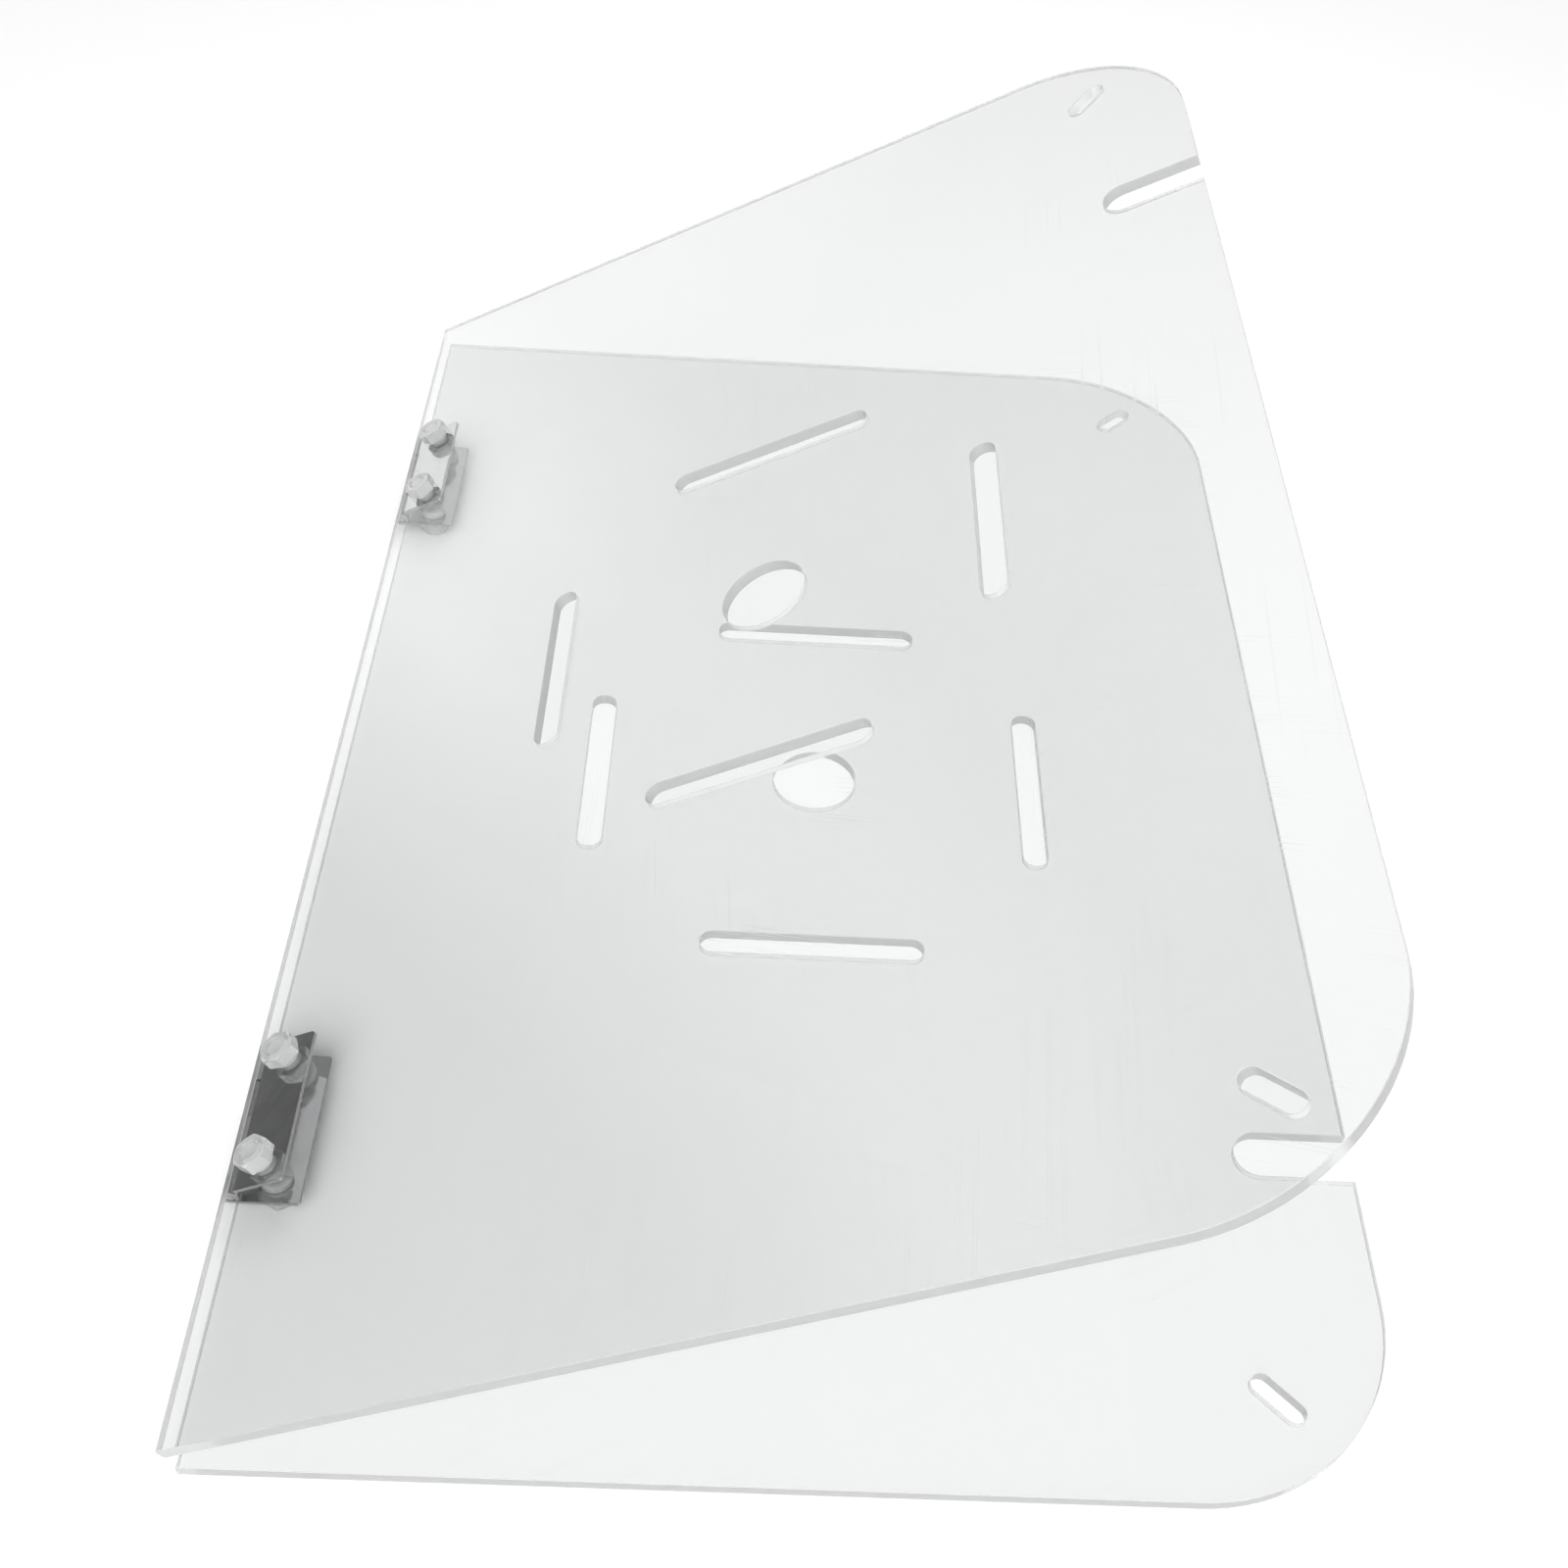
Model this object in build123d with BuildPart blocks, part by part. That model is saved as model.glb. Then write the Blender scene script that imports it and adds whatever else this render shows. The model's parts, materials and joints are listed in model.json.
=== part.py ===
from build123d import *
import os
from math import cos, radians, sin, tan

# Folding counter shield: two equal clear panels joined along one long edge by two butt hinges.
# +X runs from the hinge to the free edges, +Y along the hinge, +Z up. The lower panel is level.
# The origin is at the centre of the bottom of the folded shield's bounding box.
# Lengths are in millimetres and angles in degrees.

# ---- Panels -------------------------------------------------------------------------------------
panel_length = 508.0            # along the hinge, 20 in
panel_width = 323.85            # from hinge edge to free edge, 12 3/4 in
panel_thickness = 4.0
panel_corner_radius = 59.0      # the two corners away from the hinge
folded_angle = 27.75            # between the panels when the screw heads meet

# Four long slots form an open square round the central hole.
talk_slot_length = 72.5
talk_slot_width = 8.4
talk_slot_offset_u = 75.7       # panel centre to the slots that run along the hinge
talk_slot_offset_y = 75.0       # panel centre to the slots that run across the panel
hole_radius = 14.3

# A short slot points at each rounded corner.
corner_slot_length = 17.5
corner_slot_width = 6.0
corner_slot_edge_u = 34.2       # slot centre to the free edge
corner_slot_edge_y = 29.9       # slot centre to the end edge
corner_slot_turn = 45.0

# An open notch in the free edge takes a foot or a cross panel.
notch_width = 15.0
notch_depth = 35.0
notch_y = 147.2                 # panel's middle to the notch's centre line

# ---- Hinges: 2 in x 1 1/2 in butt hinges on the panels' inner faces ---------------------------------
hinge_y = 152.4                 # middle of the panel to the middle of each hinge, 6 in
hinge_length = 50.8
leaf_thickness = 1.2
leaf_reach = 19.5               # pin axis to the leaf's free edge
leaf_corner_radius = 1.2
pin_radius = 1.5
knuckle_radius = pin_radius + leaf_thickness
knuckle_count = 4
knuckle_gap = 0.3               # axial gap between neighbouring knuckles
window_gap = 0.4                # from a knuckle to the cut edge of the opposite leaf
press_interference = 0.01       # pin in the lower leaf's knuckles, per side
running_clearance = 0.05        # pin in the upper leaf's knuckles, per side
pin_end_chamfer = 0.3
panel_setback = 1.3             # pin axis to the panels' hinge edges

# ---- Screws and nuts: clear plastic, M6 ---------------------------------------------------------------
screw_u = 11.5                  # pin axis to the screws
screw_spacing = 35.6            # between the two screws of one leaf
shank_radius = 2.95
shank_chamfer = 0.5
leaf_hole_radius = 3.2
panel_hole_radius = 3.3
head_radius = 4.75
head_height = 3.0
head_edge_radius = 1.2
drive_slot_width = 1.2
drive_slot_depth = 1.2
nut_across_flats = 10.0
nut_height = 4.5
nut_bore_radius = 3.0
nut_chamfer_angle = 30.0        # turned cone on the outer end, starting at the flats
screw_end_recess = 0.4          # nut's outer face to the screw's end
nut_corner_turn = 30.0          # puts two of a hexagon's corners on the line along the hinge
nut_turns = (0.0, 20.0, 8.0, -12.0)     # where each tightened nut stops, from there

# ---- Places worked out from the sizes above -----------------------------------------------------------
# Across each panel's thickness, distances are counted from the pin axis, away from the other panel.
leaf_inner_face = knuckle_radius - leaf_thickness
panel_inner_face = knuckle_radius
panel_outer_face = panel_inner_face + panel_thickness
nut_outer_face = panel_outer_face + nut_height
panel_center_u = panel_setback + panel_width / 2
panel_free_edge_u = panel_setback + panel_width
knuckle_pitch = hinge_length / knuckle_count
window_edge_u = knuckle_radius + window_gap

pin_x = -(panel_free_edge_u - knuckle_radius) / 2
pin_z = nut_outer_face
hinge_names = {"near": -hinge_y, "far": hinge_y}
screw_ys = sorted(y + side * screw_spacing / 2 for y in hinge_names.values() for side in (-1, 1))


def lower_side(y=0.0):
    """Plane at the pin axis: X towards the free edge, Z out of the lower panel's outer face."""
    return Plane(origin=(pin_x, y, pin_z), x_dir=(1, 0, 0), z_dir=(0, 0, -1))


def upper_side(y=0.0):
    """The same plane for the upper panel, which stands at the folded angle."""
    tilt = radians(folded_angle)
    return Plane(origin=(pin_x, y, pin_z), x_dir=(cos(tilt), 0, sin(tilt)), z_dir=(-sin(tilt), 0, cos(tilt)))


def section(side):
    """Plane across the hinge, with X along the panel and Y out of its outer face."""
    return Plane(origin=side.origin, x_dir=side.x_dir, z_dir=-side.y_dir)


def make_panel(side):
    """One panel. Both are the same blank, and the lower one is turned over end for end."""
    with BuildPart() as panel:
        with BuildSketch(side.offset(panel_inner_face)) as blank:
            with Locations((panel_center_u, 0)):
                Rectangle(panel_width, panel_length)
            fillet(blank.vertices().group_by(Axis.X)[-1], panel_corner_radius)
            with Locations((panel_center_u, 0)):
                Circle(hole_radius, mode=Mode.SUBTRACT)
                with Locations((-talk_slot_offset_u, 0), (talk_slot_offset_u, 0)):
                    SlotOverall(talk_slot_length, talk_slot_width, rotation=90, mode=Mode.SUBTRACT)
                with Locations((0, -talk_slot_offset_y), (0, talk_slot_offset_y)):
                    SlotOverall(talk_slot_length, talk_slot_width, mode=Mode.SUBTRACT)
            for end in (-1, 1):
                corner_y = end * (panel_length / 2 - corner_slot_edge_y)
                with Locations((panel_free_edge_u - corner_slot_edge_u, corner_y)):
                    SlotOverall(
                        corner_slot_length, corner_slot_width, rotation=end * corner_slot_turn, mode=Mode.SUBTRACT
                    )
            with Locations((panel_free_edge_u, notch_y)):
                SlotOverall(2 * notch_depth, notch_width, mode=Mode.SUBTRACT)
            with Locations(*[(screw_u, y) for y in screw_ys]):
                Circle(panel_hole_radius, mode=Mode.SUBTRACT)
        extrude(amount=panel_thickness)
    return panel


def make_leaf(side, bore_radius):
    """One hinge leaf: a flat plate curled round the pin into two knuckles, with two screw holes."""
    with BuildPart() as leaf:
        with BuildSketch(section(side)):
            Circle(knuckle_radius)
            with Locations((leaf_reach / 2, (leaf_inner_face + panel_inner_face) / 2)):
                Rectangle(leaf_reach, leaf_thickness)
            Circle(bore_radius, mode=Mode.SUBTRACT)
        extrude(amount=hinge_length / 2, both=True)
        with BuildSketch(side):
            # Windows for the other leaf's knuckles: the second, and the last with its end left open.
            with Locations((0, knuckle_pitch / 2)):
                Rectangle(2 * window_edge_u, knuckle_pitch + knuckle_gap)
            with Locations((0, knuckle_gap / 2 - 2 * knuckle_pitch)):
                Rectangle(2 * window_edge_u, 2 * knuckle_pitch)
        extrude(amount=2 * knuckle_radius, both=True, mode=Mode.SUBTRACT)
        with BuildSketch(side):
            with Locations((screw_u, -screw_spacing / 2), (screw_u, screw_spacing / 2)):
                Circle(leaf_hole_radius)
        extrude(amount=2 * knuckle_radius, mode=Mode.SUBTRACT)
        across = Axis(side.origin, side.x_dir)
        corners = leaf.edges().filter_by(Axis(side.origin, side.z_dir)).group_by(across)[-1]
        fillet(corners, leaf_corner_radius)
    return leaf


def make_pin(y):
    """Hinge pin, cut flush with the hinge's ends."""
    with BuildPart() as pin:
        with BuildSketch(Plane(origin=(pin_x, y, pin_z), x_dir=(1, 0, 0), z_dir=(0, -1, 0))):
            Circle(pin_radius)
        extrude(amount=hinge_length / 2, both=True)
        chamfer(pin.edges().filter_by(GeomType.CIRCLE), pin_end_chamfer)
    return pin


def make_screw(side, y):
    """Slotted round-head screw, put in from inside, with a plain shank in place of its thread."""
    with BuildPart() as screw:
        with Locations(side.offset(leaf_inner_face) * Location((screw_u, y, 0))):
            Cylinder(head_radius, head_height, align=(Align.CENTER, Align.CENTER, Align.MAX))
            Cylinder(
                shank_radius,
                nut_outer_face - screw_end_recess - leaf_inner_face,
                align=(Align.CENTER, Align.CENTER, Align.MIN),
            )
        rounds = screw.edges().filter_by(GeomType.CIRCLE).sort_by(Axis(side.origin, side.z_dir))
        fillet(rounds[0], head_edge_radius)
        chamfer(rounds[-1], shank_chamfer)
        with BuildSketch(side.offset(leaf_inner_face - head_height)):
            with Locations((screw_u, y)):
                Rectangle(2 * head_radius, drive_slot_width)
        extrude(amount=drive_slot_depth, mode=Mode.SUBTRACT)
    return screw


def make_nut(side, y, turn):
    """Hex nut on the panel's outer face, with a turned outer end."""
    with BuildPart() as nut:
        with BuildSketch(side.offset(panel_outer_face)):
            with Locations((screw_u, y)):
                RegularPolygon(nut_across_flats / 2, 6, major_radius=False, rotation=nut_corner_turn + turn)
                Circle(nut_bore_radius, mode=Mode.SUBTRACT)
        extrude(amount=nut_height)
        with Locations(side.offset(nut_outer_face) * Location((screw_u, y, 0))):
            # A cone through the flats' middles on the outer end takes off the six corners.
            cone_growth = nut_height / tan(radians(nut_chamfer_angle))
            Cone(
                nut_across_flats / 2 + cone_growth,
                nut_across_flats / 2,
                nut_height,
                align=(Align.CENTER, Align.CENTER, Align.MAX),
                mode=Mode.INTERSECT,
            )
    return nut


pieces = {"lower_panel": make_panel(lower_side()), "upper_panel": make_panel(upper_side())}
for name, y in hinge_names.items():
    pieces[f"{name}_hinge_lower_leaf"] = make_leaf(lower_side(y), pin_radius - press_interference)
    pieces[f"{name}_hinge_upper_leaf"] = make_leaf(upper_side(y), pin_radius + running_clearance)
    pieces[f"{name}_hinge_pin"] = make_pin(y)
for number, (y, turn) in enumerate(zip(screw_ys, nut_turns), start=1):
    pieces[f"lower_screw_{number}"] = make_screw(lower_side(), -y)
    pieces[f"lower_nut_{number}"] = make_nut(lower_side(), -y, turn)
    pieces[f"upper_screw_{number}"] = make_screw(upper_side(), y)
    pieces[f"upper_nut_{number}"] = make_nut(upper_side(), y, turn)

os.makedirs("parts", exist_ok=True)
for name, piece in pieces.items():
    piece.part.label = name
    export_step(piece.part, f"parts/{name}.step")
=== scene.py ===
import json
from math import atan, ceil, cos, pi, radians, sin, sqrt, tan

import bmesh
import bpy
from mathutils import Matrix, Quaternion, Vector


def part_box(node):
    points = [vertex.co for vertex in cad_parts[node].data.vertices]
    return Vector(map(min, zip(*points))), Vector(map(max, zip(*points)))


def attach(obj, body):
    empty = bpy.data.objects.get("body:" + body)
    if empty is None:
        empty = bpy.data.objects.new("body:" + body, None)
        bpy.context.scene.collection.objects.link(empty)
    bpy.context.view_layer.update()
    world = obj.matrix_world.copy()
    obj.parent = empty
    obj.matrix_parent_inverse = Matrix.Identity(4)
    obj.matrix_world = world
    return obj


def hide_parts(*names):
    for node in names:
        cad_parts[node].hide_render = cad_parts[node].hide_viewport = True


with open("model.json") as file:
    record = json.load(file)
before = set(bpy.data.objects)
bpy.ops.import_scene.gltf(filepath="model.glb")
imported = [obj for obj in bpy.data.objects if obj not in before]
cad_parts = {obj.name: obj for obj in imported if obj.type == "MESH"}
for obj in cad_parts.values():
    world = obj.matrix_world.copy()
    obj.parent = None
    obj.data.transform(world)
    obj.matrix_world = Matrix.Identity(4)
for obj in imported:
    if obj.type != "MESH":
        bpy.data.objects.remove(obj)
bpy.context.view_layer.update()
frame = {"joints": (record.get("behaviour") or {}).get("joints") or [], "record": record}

# Folding counter shield: two clear acrylic panels, two steel butt hinges, clear screws and nuts.
# A piece is drawn in millimetres in its own side's axes: u runs from the pin axis to the panel's
# free edge, y along the hinge and n out of the panel's outer face. Then it is scaled to metres and
# stood in the frame.
MM = 0.001

# ---- Sizes and places that the frame gives ------------------------------------------------------------
fold = frame["joints"][0]
pin_axis = Vector(fold["pos_m"])
folded_angle = pi - radians(fold["range_deg"][1])
panel_low, panel_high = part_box("lower_panel")
leaf_low, leaf_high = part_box("near_hinge_lower_leaf")
pin_low, pin_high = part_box("near_hinge_pin")
nut_low, nut_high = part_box("lower_nut_1")
screw_low, screw_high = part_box("lower_screw_1")
mounts = {mount["name"]: mount for mount in frame["record"]["mounts"]}

panel_length = (panel_high.y - panel_low.y) / MM
panel_setback = (panel_low.x - pin_axis.x) / MM
panel_free_edge = (panel_high.x - pin_axis.x) / MM
panel_middle = (panel_setback + panel_free_edge) / 2
panel_inner = (pin_axis.z - panel_high.z) / MM
panel_outer = (pin_axis.z - panel_low.z) / MM
hole_radius = mounts["upper_hole"]["dims"]["r_mm"]

hinge_ys = {"near": (leaf_low.y + leaf_high.y) / 2 / MM, "far": -(leaf_low.y + leaf_high.y) / 2 / MM}
hinge_length = (leaf_high.y - leaf_low.y) / MM
leaf_reach = (leaf_high.x - pin_axis.x) / MM
knuckle_radius = (pin_axis.x - leaf_low.x) / MM
pin_radius = (pin_high.x - pin_low.x) / 2 / MM
leaf_thickness = knuckle_radius - pin_radius
leaf_inner = panel_inner - leaf_thickness

nut_outer = (pin_axis.z - nut_low.z) / MM
screw_u = ((screw_low.x + screw_high.x) / 2 - pin_axis.x) / MM
head_radius = (screw_high.x - screw_low.x) / 2 / MM
head_top = (pin_axis.z - screw_high.z) / MM
screw_end = (pin_axis.z - screw_low.z) / MM
screw_boxes = [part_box(f"upper_screw_{number}") for number in (1, 2, 3, 4)]
screw_ys = [(low.y + high.y) / 2 / MM for low, high in screw_boxes]

# ---- Panel ------------------------------------------------------------------------------------------
panel_corner_radius = 59.0
talk_slot_length = 72.5
talk_slot_width = 8.4
talk_slot_offset_u = 75.7
talk_slot_offset_y = 75.0
corner_slot_length = 17.5
corner_slot_width = 6.0
corner_slot_edge_u = 34.2
corner_slot_edge_y = 29.9
corner_slot_turn = 45.0
notch_width = 15.0
notch_depth = 35.0
notch_y = 147.2
panel_screw_hole_radius = 3.3
panel_edge_round = 0.25
outline_steps = 96                # in a full turn
edge_round_steps = 4
seat_gap = 0.02                   # air film between two pieces that touch

# ---- Hinges -----------------------------------------------------------------------------------------
knuckle_count = 4
knuckle_gap = 0.3
window_gap = 0.4
leaf_corner_radius = 1.2
leaf_hole_radius = 3.2
leaf_edge_round = 0.14
curl_end_angle = radians(300)
curl_step = radians(6)
pin_end_dome = 0.12
pin_end_round = 0.3

# ---- Screws and nuts --------------------------------------------------------------------------------
thread_pitch = 1.0
thread_depth = 0.5
thread_radius = 2.95
thread_clearance = 0.05
thread_run_out = 0.6
rings_per_pitch = 8
head_edge_radius = 1.2
head_edge_steps = 9
head_under_round = 0.2
screw_end_chamfer = 0.5
drive_slot_width = 1.2
drive_slot_depth = 1.2
drive_turns = (12.0, 74.0, 31.0, 118.0)
nut_across_flats = 10.0
nut_corner_round = 0.3
nut_edge_round = 0.12
nut_bore_mouth = 0.4
nut_chamfer_angle = radians(30)
nut_turns = (0.0, 20.0, 8.0, -12.0)

# ---- Camera -----------------------------------------------------------------------------------------
view_heading = radians(2.823)     # from +Y towards +X
view_elevation = radians(47.35)
view_roll = radians(4.709)
view_distance = 582.9
view_target = Vector((-2.0, -59.1, 50.0))
lens_length = 42.809
lens_shift = (-0.01642, 0.02611)


# ---- Places -----------------------------------------------------------------------------------------
def side_axes(side):
    """Where one panel's side stands: at the pin axis, with columns u, y and n."""
    if side == "lower":
        u, y, n = Vector((1, 0, 0)), Vector((0, -1, 0)), Vector((0, 0, -1))
    else:
        u = Vector((cos(folded_angle), 0, sin(folded_angle)))
        y = Vector((0, 1, 0))
        n = Vector((-sin(folded_angle), 0, cos(folded_angle)))
    return Matrix.Translation(pin_axis) @ Matrix((u, y, n)).transposed().to_4x4()


def local_y(side, y):
    """A place along the hinge, counted in the side's own direction."""
    return -y if side == "lower" else y


def stand(mesh, side, u, y, materials, replaced):
    """Stands a mesh drawn in millimetres on its side, in place of a CAD node."""
    mesh.transform(Matrix.Scale(MM, 4))
    for material in materials:
        mesh.materials.append(material)
    piece = bpy.data.objects.new(mesh.name, mesh)
    bpy.context.scene.collection.objects.link(piece)
    piece.matrix_world = side_axes(side) @ Matrix.Translation(Vector((u, local_y(side, y), 0)) * MM)
    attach(piece, f"{side}_side")
    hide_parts(replaced)
    return piece


# ---- Outlines ---------------------------------------------------------------------------------------
def arc(center, radius, start, end):
    """Points along an arc, with its angles in degrees."""
    count = max(2, ceil(abs(end - start) / 360 * outline_steps))
    angles = [radians(start + (end - start) * i / count) for i in range(count + 1)]
    return [Vector((center[0] + radius * cos(a), center[1] + radius * sin(a))) for a in angles]


def circle(center, radius):
    return arc(center, radius, 0, 360)[:-1]


def slot(center, length, width, turn):
    """A slot with full-round ends, turned in degrees."""
    reach = (length - width) / 2
    points = arc((reach, 0), width / 2, -90, 90) + arc((-reach, 0), width / 2, 90, 270)
    spin = Matrix.Rotation(radians(turn), 2)
    return [spin @ point + Vector(center) for point in points]


def panel_outline():
    """The panel's edge: square hinge corners, round far corners and the notch."""
    half = panel_length / 2
    bend_u, bend_y = panel_free_edge - panel_corner_radius, half - panel_corner_radius
    notch_end = (panel_free_edge - notch_depth + notch_width / 2, notch_y)
    points = [Vector((panel_setback, half)), Vector((panel_setback, -half))]
    points += arc((bend_u, -bend_y), panel_corner_radius, -90, 0)
    points.append(Vector((panel_free_edge, notch_y - notch_width / 2)))
    points += arc(notch_end, notch_width / 2, 270, 90)
    points.append(Vector((panel_free_edge, notch_y + notch_width / 2)))
    points += arc((bend_u, bend_y), panel_corner_radius, 0, 90)
    return points


def panel_holes():
    holes = [circle((panel_middle, 0), hole_radius)]
    for way in (-1, 1):
        beside = (panel_middle + way * talk_slot_offset_u, 0)
        ahead = (panel_middle, way * talk_slot_offset_y)
        corner = (panel_free_edge - corner_slot_edge_u, way * (panel_length / 2 - corner_slot_edge_y))
        holes.append(slot(beside, talk_slot_length, talk_slot_width, 90))
        holes.append(slot(ahead, talk_slot_length, talk_slot_width, 0))
        holes.append(slot(corner, corner_slot_length, corner_slot_width, way * corner_slot_turn))
    return holes + [circle((screw_u, y), panel_screw_hole_radius) for y in screw_ys]


def leaf_outline():
    """The leaf's blank before it is curled. It runs from its free edge, below zero, to the curl's end."""
    half = hinge_length / 2
    pitch = hinge_length / knuckle_count
    gap = knuckle_gap / 2
    free = -leaf_reach
    window = -(knuckle_radius + window_gap)
    end = curl_end_angle * (pin_radius + knuckle_radius) / 2
    r = leaf_corner_radius
    points = arc((free + r, -half + r), r, 180, 270)
    steps = [(window, -half), (window, -pitch + gap), (end, -pitch + gap), (end, -gap)]
    steps += [(window, -gap), (window, pitch + gap), (end, pitch + gap), (end, half)]
    points += [Vector(step) for step in steps]
    return points + arc((free + r, half - r), r, 90, 180)


def moved_in(points, distance):
    """An outline moved into the material, which lies on its left, with mitred corners."""
    moved = []
    for i, point in enumerate(points):
        before = (point - points[i - 1]).normalized()
        after = (points[(i + 1) % len(points)] - point).normalized()
        across = Vector((-after.y, after.x))
        normal = (Vector((-before.y, before.x)) + across).normalized()
        moved.append(point + normal * distance / normal.dot(across))
    return moved


# ---- Mesh building ----------------------------------------------------------------------------------
def finished(name, shape, sharp_angle):
    """A mesh from a bmesh. Edges above the given angle are sharp, as are those marked before."""
    bmesh.ops.recalc_face_normals(shape, faces=shape.faces)
    for edge in shape.edges:
        edge.smooth = edge.smooth and edge.calc_face_angle(0.0) < radians(sharp_angle)
    mesh = bpy.data.meshes.new(name)
    shape.to_mesh(mesh)
    shape.free()
    return mesh


def plate(outer, holes, low, high, edge_round):
    """A plate between two heights with rounded edges. Its rim's faces are smooth, of material 1."""
    angles = [pi / 2 * step / edge_round_steps for step in range(edge_round_steps + 1)]
    curve = [((1 - sin(a)) * edge_round, (1 - cos(a)) * edge_round) for a in angles]
    levels = [(inset, low + rise) for inset, rise in curve]
    levels += [(inset, high - rise) for inset, rise in reversed(curve)]
    shape = bmesh.new()
    borders = {0: [], len(levels) - 1: []}
    for outline in [outer] + [list(reversed(hole)) for hole in holes]:
        count = len(outline)
        rings = []
        for inset, height in levels:
            rings.append([shape.verts.new((p.x, p.y, height)) for p in moved_in(outline, inset)])
        for ring, above in zip(rings, rings[1:]):
            for i in range(count):
                j = (i + 1) % count
                face = shape.faces.new((ring[i], ring[j], above[j], above[i]))
                face.material_index = 1
                face.smooth = True
        for level, edges in borders.items():
            ring = rings[level]
            edges += [shape.edges.get((ring[i], ring[(i + 1) % count])) for i in range(count)]
    for edges in borders.values():
        filled = bmesh.ops.triangle_fill(shape, use_beauty=True, edges=edges)
        for face in filled["geom"]:
            face.smooth = False
        for edge in edges:
            edge.smooth = False
    return shape


def skin(rings, closed=False):
    """Faces between rings of points, where a ring without size closes to a point."""
    shape = bmesh.new()
    made = []
    for ring in rings:
        pointed = (Vector(ring[0]) - Vector(ring[len(ring) // 2])).length < 1e-6
        made.append([shape.verts.new(point) for point in (ring[:1] if pointed else ring)])
    pairs = list(zip(made, made[1:]))
    if closed:
        pairs.append((made[-1], made[0]))
    for ring, above in pairs:
        count = max(len(ring), len(above))
        for i in range(count):
            j = (i + 1) % count
            corners = [ring[i % len(ring)], ring[j % len(ring)]]
            corners += [above[j % len(above)], above[i % len(above)]]
            face = shape.faces.new(list(dict.fromkeys(corners)))
            face.smooth = True
    return shape


# Angles round a fastener, closer together at a hexagon's six corners.
corner_angles = (-22.0, -15.0, -8.0, -2.5, -1.2, 0.0, 1.2, 2.5, 8.0, 15.0, 22.0, 30.0)
turn_angles = [radians(60 * side + 30 + away) for side in range(6) for away in corner_angles]


def round_ring(radius, n):
    return [(radius * cos(a), radius * sin(a), n) for a in turn_angles]


# ---- Panels and hinges ------------------------------------------------------------------------------
def make_panel(side):
    low, high = panel_inner + seat_gap, panel_outer - seat_gap
    shape = plate(panel_outline(), panel_holes(), low, high, panel_edge_round)
    mesh = finished(f"{side}_acrylic_panel", shape, 35)
    return stand(mesh, side, 0, 0, [acrylic, cut_edge], f"{side}_panel")


def make_leaf(hinge, side):
    """A flat blank with its fingers, cut in fine steps along the curl and bent round the pin."""
    spacing = (screw_ys[1] - screw_ys[0]) / 2
    holes = [circle((-screw_u, y), leaf_hole_radius) for y in (-spacing, spacing)]
    shape = plate(leaf_outline(), holes, leaf_inner, panel_inner, leaf_edge_round)
    middle_radius = (pin_radius + knuckle_radius) / 2
    for i in range(round(curl_end_angle / curl_step)):
        cut = Vector((i * curl_step * middle_radius, 0, 0))
        everything = shape.verts[:] + shape.edges[:] + shape.faces[:]
        bmesh.ops.bisect_plane(shape, geom=everything, plane_co=cut, plane_no=Vector((1, 0, 0)))
    for face in shape.faces:
        face.material_index = 0
        face.smooth = face.smooth or face.calc_center_median().x > 0
    for vert in shape.verts:
        along, y, n = vert.co
        turn = max(0.0, along / middle_radius)
        vert.co = Vector((-n * sin(turn) - min(0.0, along), y, n * cos(turn)))
    mesh = finished(f"{hinge}_{side}_leaf", shape, 15)
    return stand(mesh, side, 0, hinge_ys[hinge], [steel], f"{hinge}_hinge_{side}_leaf")


def make_pin(hinge):
    """A turned pin with slightly domed ends."""
    half = hinge_length / 2
    end = [(pin_radius * share, pin_end_dome * share * share) for share in (0.0, 0.3, 0.6, 0.8)]
    end.append((pin_radius - 0.1 * pin_end_round, pin_end_dome + 0.3 * pin_end_round))
    end.append((pin_radius, pin_end_dome + pin_end_round))
    profile = [(radius, depth - half) for radius, depth in end]
    profile += [(radius, half - depth) for radius, depth in reversed(end)]
    rings = [[(radius * cos(a), y, radius * sin(a)) for a in turn_angles] for radius, y in profile]
    mesh = finished(f"{hinge}_pin", skin(rings), 50)
    return stand(mesh, "lower", 0, hinge_ys[hinge], [steel], f"{hinge}_hinge_pin")


# ---- Screws and nuts --------------------------------------------------------------------------------
def thread_rise(n, angle):
    """Height of the thread at a place, from 0 at its root to 1 at its crest, both slightly flat."""
    phase = (n / thread_pitch - angle / (2 * pi)) % 1.0
    return min(1.0, max(0.0, 1.4 * (1 - abs(2 * phase - 1)) - 0.2))


def thread_rings(start, end, radius, turn=0.0):
    """Rings from start to end along n, with a thread that fades out at both ends."""
    count = ceil(abs(end - start) / thread_pitch * rings_per_pitch)
    rings = []
    for i in range(count + 1):
        n = start + (end - start) * i / count
        fade = min(1.0, abs(n - start) / thread_run_out, abs(end - n) / thread_run_out)
        radii = [radius - thread_depth * fade * (1 - thread_rise(n, a + turn)) for a in turn_angles]
        rings.append([(r * cos(a), r * sin(a), n) for a, r in zip(turn_angles, radii)])
    return rings


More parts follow.
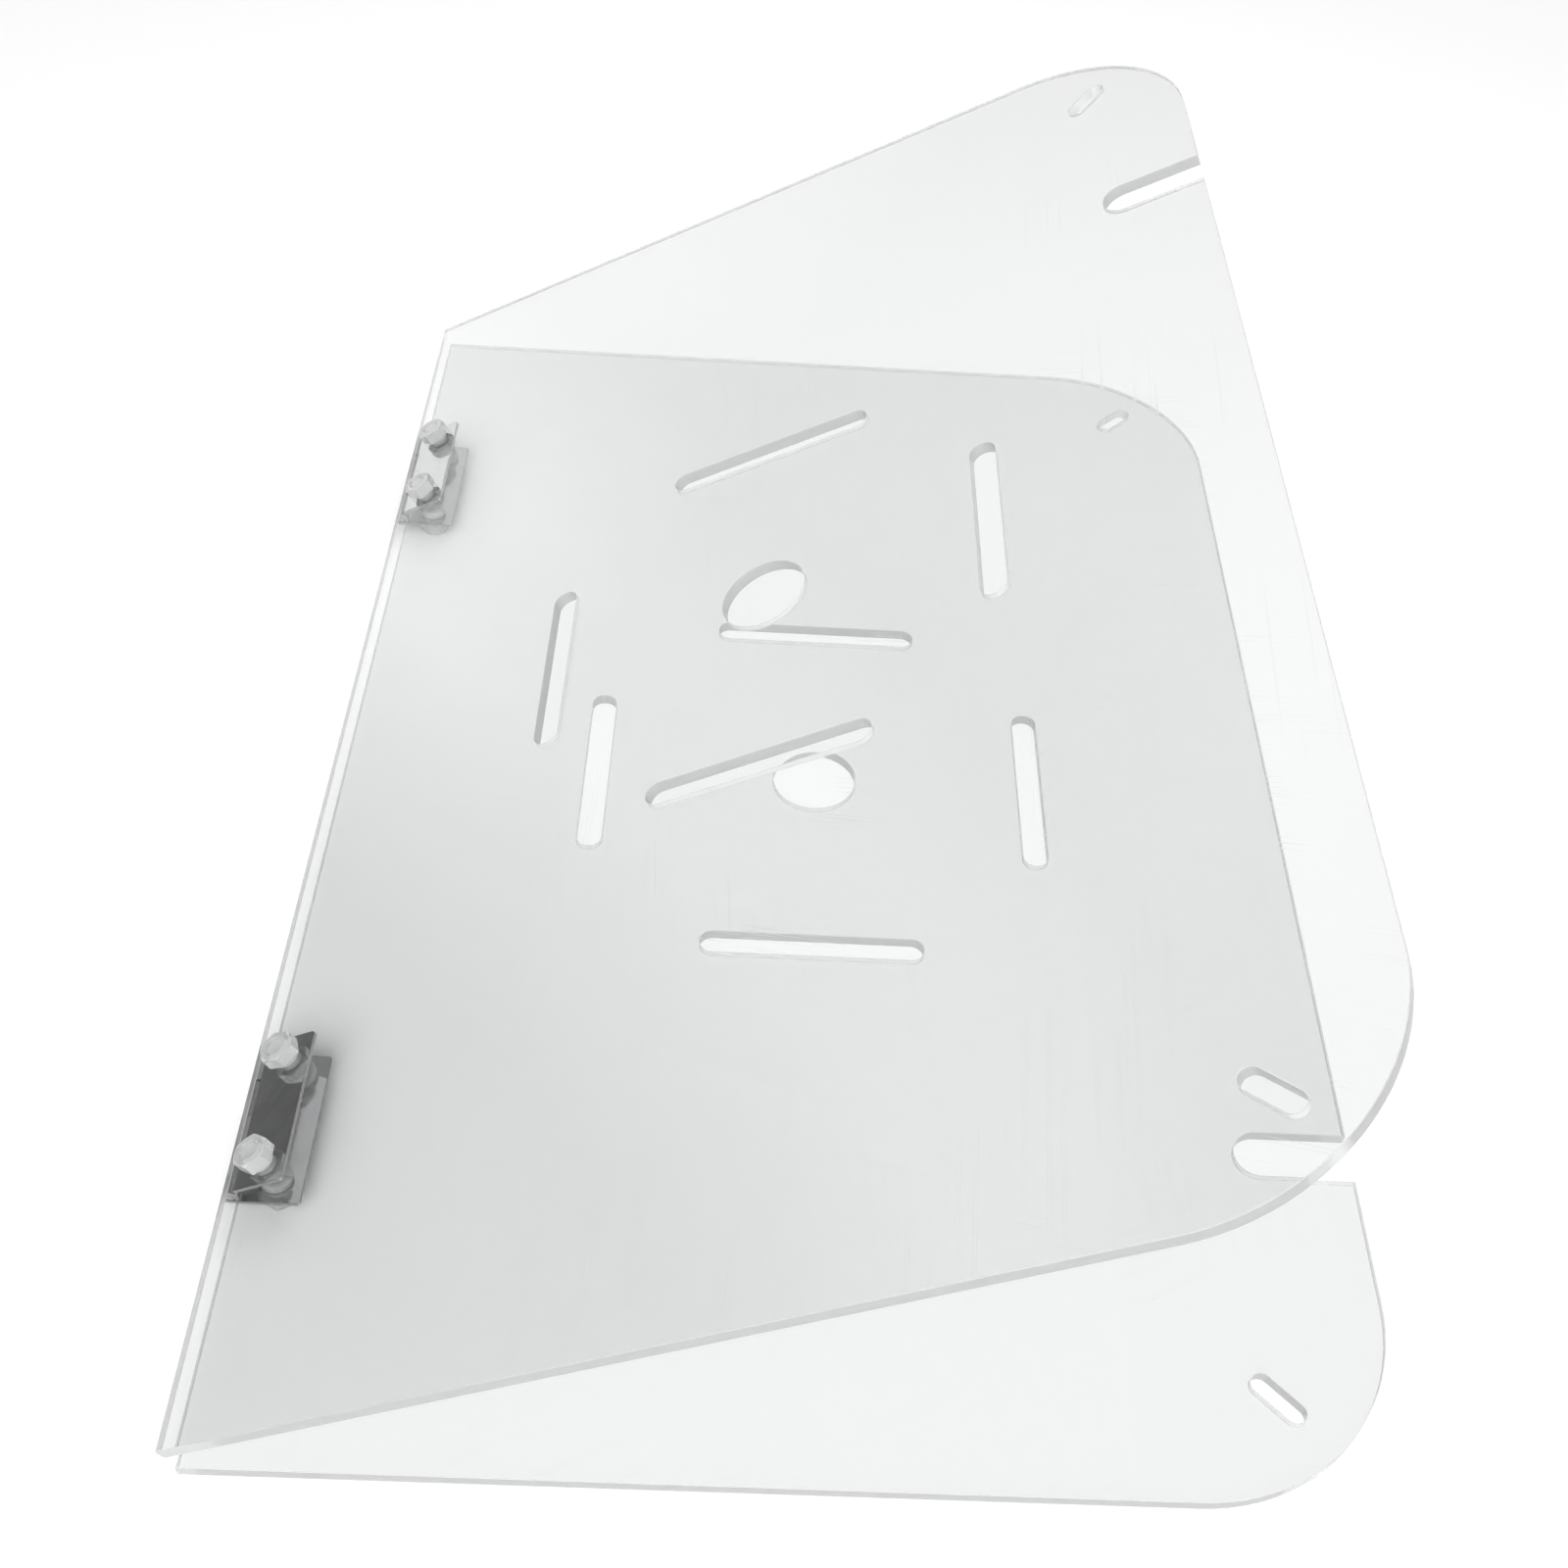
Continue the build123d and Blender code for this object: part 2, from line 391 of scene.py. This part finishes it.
def cut_drive_slot(mesh, turn):
    """The screw's shape with its straight drive slot cut through the head's top."""
    cutter = bmesh.new()
    size = Vector((2 * head_radius + 1, drive_slot_width, 2 * drive_slot_depth))
    place = Matrix.Translation((0, 0, head_top)) @ Matrix.Rotation(radians(turn), 4, "Z")
    bmesh.ops.create_cube(cutter, size=1.0, matrix=place @ Matrix.Diagonal(size.to_4d()))
    cutter_mesh = bpy.data.meshes.new("drive_slot_cutter")
    cutter.to_mesh(cutter_mesh)
    cutter.free()
    tool = bpy.data.objects.new("drive_slot_cutter", cutter_mesh)
    blank = bpy.data.objects.new("screw_blank", mesh)
    bpy.context.scene.collection.objects.link(tool)
    bpy.context.scene.collection.objects.link(blank)
    cut = blank.modifiers.new("drive_slot", "BOOLEAN")
    cut.operation = "DIFFERENCE"
    cut.solver = "EXACT"
    cut.object = tool
    bpy.context.view_layer.update()
    shape = bmesh.new()
    shape.from_object(blank, bpy.context.evaluated_depsgraph_get())
    bpy.data.objects.remove(tool)
    bpy.data.objects.remove(blank)
    return shape


def make_screw(side, number, y, drive_turn):
    """A round-head screw along n, its head towards the fold."""
    flat = head_radius - head_edge_radius
    seat = leaf_inner - seat_gap
    rings = [round_ring(flat * share, head_top) for share in (0.0, 0.35, 0.7, 0.97)]
    for step in range(1, head_edge_steps + 1):
        a = pi / 2 * step / head_edge_steps
        depth = head_edge_radius * (1 - cos(a))
        rings.append(round_ring(flat + head_edge_radius * sin(a), head_top + depth))
    rings.append(round_ring(head_radius, seat - head_under_round))
    rings.append(round_ring(head_radius - head_under_round, seat))
    rings.append(round_ring(thread_radius + head_under_round, seat))
    thread_start = seat + head_under_round
    rings += thread_rings(thread_start, screw_end - screw_end_chamfer, thread_radius)
    rings.append(round_ring(thread_radius - screw_end_chamfer, screw_end))
    rings.append(round_ring(0.0, screw_end))
    shape = cut_drive_slot(finished("screw_blank", skin(rings), 30), drive_turn)
    mesh = finished(f"{side}_threaded_screw_{number}", shape, 30)
    return stand(mesh, side, screw_u, y, [clear_plastic], f"{side}_screw_{number}")


def hex_radius(angle):
    """Distance from a hexagon's centre to its side or its rounded corner."""
    apothem = nut_across_flats / 2
    away = abs((angle + pi / 6) % (pi / 3) - pi / 6)
    corner = (apothem - nut_corner_round) / cos(pi / 6)
    if away < atan(corner * sin(pi / 6) / apothem):
        return apothem / cos(away)
    across = corner * sin(pi / 6 - away)
    return corner * cos(pi / 6 - away) + sqrt(nut_corner_round**2 - across**2)


def make_nut(side, number, y, turn):
    """A hex nut on the panel's outer face, with a threaded bore and a turned outer end."""
    bore = thread_radius + thread_clearance
    chamfer_start = nut_across_flats / 2 - nut_edge_round
    radii = [hex_radius(a) for a in turn_angles]

    def hexagon(inset, depth, chamfered):
        """A ring round the sides; on the turned end it drops where the sides stand outside the cone."""
        ring = []
        for a, r in zip(turn_angles, radii):
            drop = max(0.0, r - chamfer_start) * tan(nut_chamfer_angle) if chamfered else 0.0
            height = nut_outer - drop - depth if chamfered else panel_outer + depth
            ring.append(((r - inset) * cos(a), (r - inset) * sin(a), height))
        return ring

    rings = [round_ring(bore + nut_bore_mouth, panel_outer)]
    rings += [hexagon(nut_edge_round, 0, False), hexagon(0, nut_edge_round, False)]
    rings += [hexagon(0, nut_edge_round, True), hexagon(nut_edge_round, nut_edge_round / 4, True)]
    rings.append(round_ring(chamfer_start - nut_edge_round, nut_outer))
    rings.append(round_ring(bore + nut_bore_mouth, nut_outer))
    rings += thread_rings(nut_outer - nut_bore_mouth, panel_outer + nut_bore_mouth, bore, radians(turn))
    mesh = finished(f"{side}_threaded_nut_{number}", skin(rings, closed=True), 24)
    mesh.transform(Matrix.Rotation(radians(turn), 4, "Z"))
    return stand(mesh, side, screw_u, y, [clear_plastic], f"{side}_nut_{number}")


# ---- Material building ------------------------------------------------------------------------------
class Graph:
    """A material's node tree, with short ways to add nodes and feed their sockets."""

    def __init__(self, name):
        self.material = bpy.data.materials.new(name)
        self.material.use_nodes = True
        self.tree = self.material.node_tree
        self.surface = self.tree.nodes["Principled BSDF"]
        self.output = self.tree.nodes["Material Output"]

    def feed(self, sockets, values):
        for key, value in values.items():
            if isinstance(value, bpy.types.NodeSocket):
                self.tree.links.new(value, sockets[key])
            else:
                sockets[key].default_value = value

    def add(self, kind, values, **settings):
        """Adds a node and gives its first output."""
        node = self.tree.nodes.new(kind)
        for key, value in settings.items():
            setattr(node, key, value)
        self.feed(node.inputs, values)
        return node.outputs[0]

    def place(self, cell, turn=0.0):
        """The piece's own coordinates, turned in its plane and counted in cells of so many millimetres."""
        own = self.tree.nodes.new("ShaderNodeTexCoord").outputs["Object"]
        values = {"Vector": own, "Angle": radians(turn)}
        spun = self.add("ShaderNodeVectorRotate", values, rotation_type="Z_AXIS")
        scale = [1 / (size * MM) for size in cell]
        return self.add("ShaderNodeVectorMath", {0: spun, 1: scale}, operation="MULTIPLY")

    def noise(self, cell, turn=0.0, detail=2.0):
        values = {"Vector": self.place(cell, turn), "Scale": 1.0, "Detail": detail}
        return self.add("ShaderNodeTexNoise", values)

    def step(self, value, low, high, to_low=0.0, to_high=1.0):
        """A smooth step from one value to another."""
        values = {"Value": value, "From Min": low, "From Max": high, "To Min": to_low, "To Max": to_high}
        return self.add("ShaderNodeMapRange", values, interpolation_type="SMOOTHSTEP")

    def math(self, operation, first, second):
        return self.add("ShaderNodeMath", {0: first, 1: second}, operation=operation)

    def bump(self, height, depth, strength=1.0):
        """A surface normal for relief of so many millimetres."""
        return self.add("ShaderNodeBump", {"Height": height, "Distance": depth * MM, "Strength": strength})

    def color(self, share, first, second):
        """A colour between two others."""
        ramp = self.tree.nodes.new("ShaderNodeValToRGB")
        ramp.color_ramp.elements[0].color = (*first, 1)
        ramp.color_ramp.elements[1].color = (*second, 1)
        self.feed(ramp.inputs, {"Fac": share})
        return ramp.outputs[0]

    def let_lamps_through(self, tint):
        """Lamp light and light that has left a dull surface cross the clear surface straight."""
        path = self.tree.nodes.new("ShaderNodeLightPath")
        clear = self.add("ShaderNodeBsdfTransparent", {"Color": (*tint, 1)})
        shader = self.surface.outputs[0]
        for ray in ("Is Diffuse Ray", "Is Shadow Ray"):
            shader = self.add("ShaderNodeMixShader", {0: path.outputs[ray], 1: shader, 2: clear})
        self.feed(self.output.inputs, {"Surface": shader})


def scratches(graph, turn, length, spacing):
    """Fine straight scratches in one direction."""
    lines = graph.step(graph.noise((spacing, length, length), turn, 1.0), 0.70, 0.74)
    patches = graph.step(graph.noise((90, 140, 90), turn + 40, 1.0), 0.42, 0.6)
    return graph.math("MULTIPLY", lines, patches)


def specks(graph, cell, size):
    """Small round specks of dust, one to a cell in some of the cells."""
    place = graph.place((cell, cell, cell))
    near = graph.add("ShaderNodeTexVoronoi", {"Vector": place, "Scale": 1.0})
    dots = graph.step(near, size / cell * 0.6, size / cell, 1.0, 0.0)
    return graph.math("MULTIPLY", dots, graph.step(graph.noise((cell, cell, cell), 15), 0.5, 0.62))


def make_acrylic():
    """Clear cast sheet: hairline scratches, dust and faint hand smudges."""
    graph = Graph("acrylic")
    lines = graph.math("MAXIMUM", scratches(graph, 4, 130, 0.35), scratches(graph, -63, 60, 0.3))
    dust = specks(graph, 9.0, 0.42)
    marks = graph.math("MAXIMUM", lines, dust)
    smudge = graph.step(graph.noise((45, 60, 45), 20, 4.0), 0.5, 0.75, 0.0, 0.035)
    graph.feed(graph.surface.inputs, {
        "Base Color": graph.color(marks, (0.87, 0.874, 0.876), (0.78, 0.785, 0.79)),
        "Roughness": graph.math("ADD", smudge, graph.math("MULTIPLY", marks, 0.1)),
        "Normal": graph.bump(lines, 0.004, 0.5),
        "IOR": 1.49,
        "Transmission Weight": 1.0,
    })
    graph.let_lamps_through((0.985, 0.986, 0.986))
    return graph.material


def make_cut_edge():
    """The sheet's polished cut edge, with faint tool lines through its thickness."""
    graph = Graph("acrylic_cut_edge")
    lines = graph.noise((0.6, 0.6, 6.0), 0, 3.0)
    haze = graph.noise((5, 5, 2), 0, 3.0)
    graph.feed(graph.surface.inputs, {
        "Base Color": graph.color(haze, (0.64, 0.645, 0.65), (0.74, 0.745, 0.745)),
        "Roughness": graph.step(haze, 0.3, 0.7, 0.06, 0.2),
        "Normal": graph.bump(lines, 0.02, 0.4),
        "IOR": 1.49,
        "Transmission Weight": 0.4,
    })
    graph.let_lamps_through((0.96, 0.962, 0.963))
    return graph.material


def make_steel():
    """Polished sheet steel: faint brushing along the hinge, smudges, and duller sheared edges."""
    graph = Graph("polished_steel")
    brushing = graph.noise((0.12, 14, 0.12), 0, 2.0)
    smudge = graph.noise((6, 9, 6), 30, 4.0)
    parts = graph.tree.nodes.new("ShaderNodeSeparateXYZ")
    graph.feed(parts.inputs, {0: graph.place((1, 1, 1))})
    toward_end = graph.math("ABSOLUTE", parts.outputs["Y"], 0.0)
    end = graph.step(toward_end, hinge_length / 2 - 0.3, hinge_length / 2 - 0.1)
    free = graph.step(parts.outputs["X"], leaf_reach - 0.3, leaf_reach - 0.1)
    edge = graph.math("MAXIMUM", end, free)
    shade = graph.math("SUBTRACT", graph.math("ADD", graph.math("MULTIPLY", smudge, 0.4), 0.5), edge)
    rough = graph.math("ADD", graph.step(smudge, 0.35, 0.7, 0.05, 0.15), graph.math("MULTIPLY", edge, 0.2))
    graph.feed(graph.surface.inputs, {
        "Base Color": graph.color(shade, (0.42, 0.42, 0.425), (0.84, 0.84, 0.84)),
        "Metallic": 1.0,
        "Roughness": rough,
        "Normal": graph.bump(brushing, 0.004, 0.35),
    })
    return graph.material


def make_clear_plastic():
    """Moulded clear fasteners: a slight milkiness, flow lines and a soft skin."""
    graph = Graph("clear_fastener_plastic")
    cloud = graph.noise((3.5, 3.5, 5), 0, 3.0)
    flow = graph.noise((1.2, 1.2, 7), 35, 2.0)
    graph.feed(graph.surface.inputs, {
        "Base Color": graph.color(cloud, (0.70, 0.705, 0.705), (0.84, 0.845, 0.845)),
        "Roughness": graph.step(flow, 0.35, 0.7, 0.06, 0.2),
        "Normal": graph.bump(flow, 0.03, 0.35),
        "IOR": 1.5,
        "Transmission Weight": 0.7,
    })
    graph.let_lamps_through((0.85, 0.852, 0.852))
    return graph.material


# ---- Studio -----------------------------------------------------------------------------------------
# Places and sizes are in metres here and powers in watts. A tone is a world brightness.
floor_size = 8.0
floor_white = 0.88
key_place = Vector((-0.4, -3.8, 4.8))
key_size = 4.8
key_power = 376.0
pool_place = Vector((0.05, 0.25, 0.7))
pool_size = 0.5
pool_power = 1.0
sweep_tone = 0.85
band_tone = 0.62
wall_tone = 0.72
ceiling_tone = 0.28
screen_tone = 0.22
card_tone = 1.5


def make_floor():
    """A plain pale floor. The folded shield rests on its lower nuts and its lower panel's free edge."""
    nut_edge = nut_high.x
    slope = panel_low.z / (panel_high.x - nut_edge)
    half = floor_size / 2
    corners = [(-half, -half), (half, -half), (half, half), (-half, half)]
    mesh = bpy.data.meshes.new("floor")
    mesh.from_pydata([(x, y, (x - nut_edge) * slope) for x, y in corners], [], [(0, 1, 2, 3)])
    floor = bpy.data.objects.new("floor", mesh)
    bpy.context.scene.collection.objects.link(floor)
    graph = Graph("pale_floor")
    grain = graph.noise((2.5, 2.5, 2.5), 0, 3.0)
    low, high = floor_white - 0.01, floor_white + 0.01
    graph.feed(graph.surface.inputs, {
        "Base Color": graph.color(grain, (low, low, low), (high, high, high)),
        "Roughness": 0.9,
        "Specular IOR Level": 0.1,
    })
    mesh.materials.append(graph.material)


def make_world():
    """A pale studio. A dark screen and a white card stand on the hinge side.

    A ramp's places are heights or distances along X on a sphere of radius 1 round the object.
    """
    world = bpy.data.worlds.new("studio")
    bpy.context.scene.world = world
    world.use_nodes = True
    tree = world.node_tree
    direction = tree.nodes.new("ShaderNodeTexCoord").outputs["Generated"]
    parts = tree.nodes.new("ShaderNodeSeparateXYZ")
    tree.links.new(direction, parts.inputs[0])
    tones = []
    ramps = {
        "Z": (
            (0.24, sweep_tone),
            (0.33, band_tone),
            (0.50, band_tone),
            (0.60, wall_tone),
            (0.80, ceiling_tone),
        ),
        "X": ((-0.74, screen_tone), (-0.64, card_tone), (-0.58, card_tone), (-0.50, 1.0)),
    }
    for axis, stops in ramps.items():
        ramp = tree.nodes.new("ShaderNodeValToRGB")
        elements = ramp.color_ramp.elements
        elements.remove(elements[0])
        for position, tone in stops:
            elements.new((position + 1) / 2).color = (tone, tone, tone, 1)
        elements.remove(elements[-1])
        half = tree.nodes.new("ShaderNodeMath")
        half.operation = "MULTIPLY_ADD"
        half.inputs[1].default_value = half.inputs[2].default_value = 0.5
        tree.links.new(parts.outputs[axis], half.inputs[0])
        tree.links.new(half.outputs[0], ramp.inputs["Fac"])
        tones.append(ramp.outputs[0])
    both = tree.nodes.new("ShaderNodeMix")
    both.data_type = "RGBA"
    both.blend_type = "MULTIPLY"
    both.inputs["Factor"].default_value = 1.0
    tree.links.new(tones[0], both.inputs[6])
    tree.links.new(tones[1], both.inputs[7])
    tree.links.new(both.outputs[2], tree.nodes["Background"].inputs["Color"])


def make_lamp(name, place, target, size, power):
    """A round softbox. The object's mirror-smooth faces reflect the studio, not its lamps."""
    data = bpy.data.lights.new(name, "AREA")
    data.shape = "DISK"
    data.size = size
    data.energy = power
    lamp = bpy.data.objects.new(name, data)
    lamp.location = place
    lamp.rotation_mode = "QUATERNION"
    lamp.rotation_quaternion = (target - place).to_track_quat("-Z", "Y")
    lamp.visible_glossy = False
    lamp.visible_transmission = False
    bpy.context.scene.collection.objects.link(lamp)


def make_camera():
    data = bpy.data.cameras.new("camera")
    data.lens = lens_length
    data.shift_x, data.shift_y = lens_shift
    data.clip_start = 0.01
    camera = bpy.data.objects.new("camera", data)
    bpy.context.scene.collection.objects.link(camera)
    level = cos(view_elevation)
    ahead = Vector((sin(view_heading) * level, cos(view_heading) * level, -sin(view_elevation)))
    camera.rotation_mode = "QUATERNION"
    camera.rotation_quaternion = ahead.to_track_quat("-Z", "Y") @ Quaternion((0, 0, 1), view_roll)
    camera.location = (view_target - ahead * view_distance) * MM
    bpy.context.scene.camera = camera


# ---- The object and its studio ----------------------------------------------------------------------
acrylic = make_acrylic()
cut_edge = make_cut_edge()
steel = make_steel()
clear_plastic = make_clear_plastic()

for side in ("lower", "upper"):
    make_panel(side)
    for hinge in hinge_ys:
        make_leaf(hinge, side)
    for number, y in enumerate(screw_ys, start=1):
        make_screw(side, number, y, drive_turns[number - 1])
        make_nut(side, number, y, nut_turns[number - 1])
for hinge in hinge_ys:
    make_pin(hinge)

make_floor()
make_world()
make_lamp("key_softbox", key_place, Vector((0, 0, 0)), key_size, key_power)
make_lamp("pool_softbox", pool_place, Vector((pool_place.x, pool_place.y, 0)), pool_size, pool_power)
make_camera()
bpy.context.scene.view_settings.view_transform = "Standard"
bpy.context.scene.cycles.caustics_refractive = False
bpy.context.scene.cycles.caustics_reflective = False
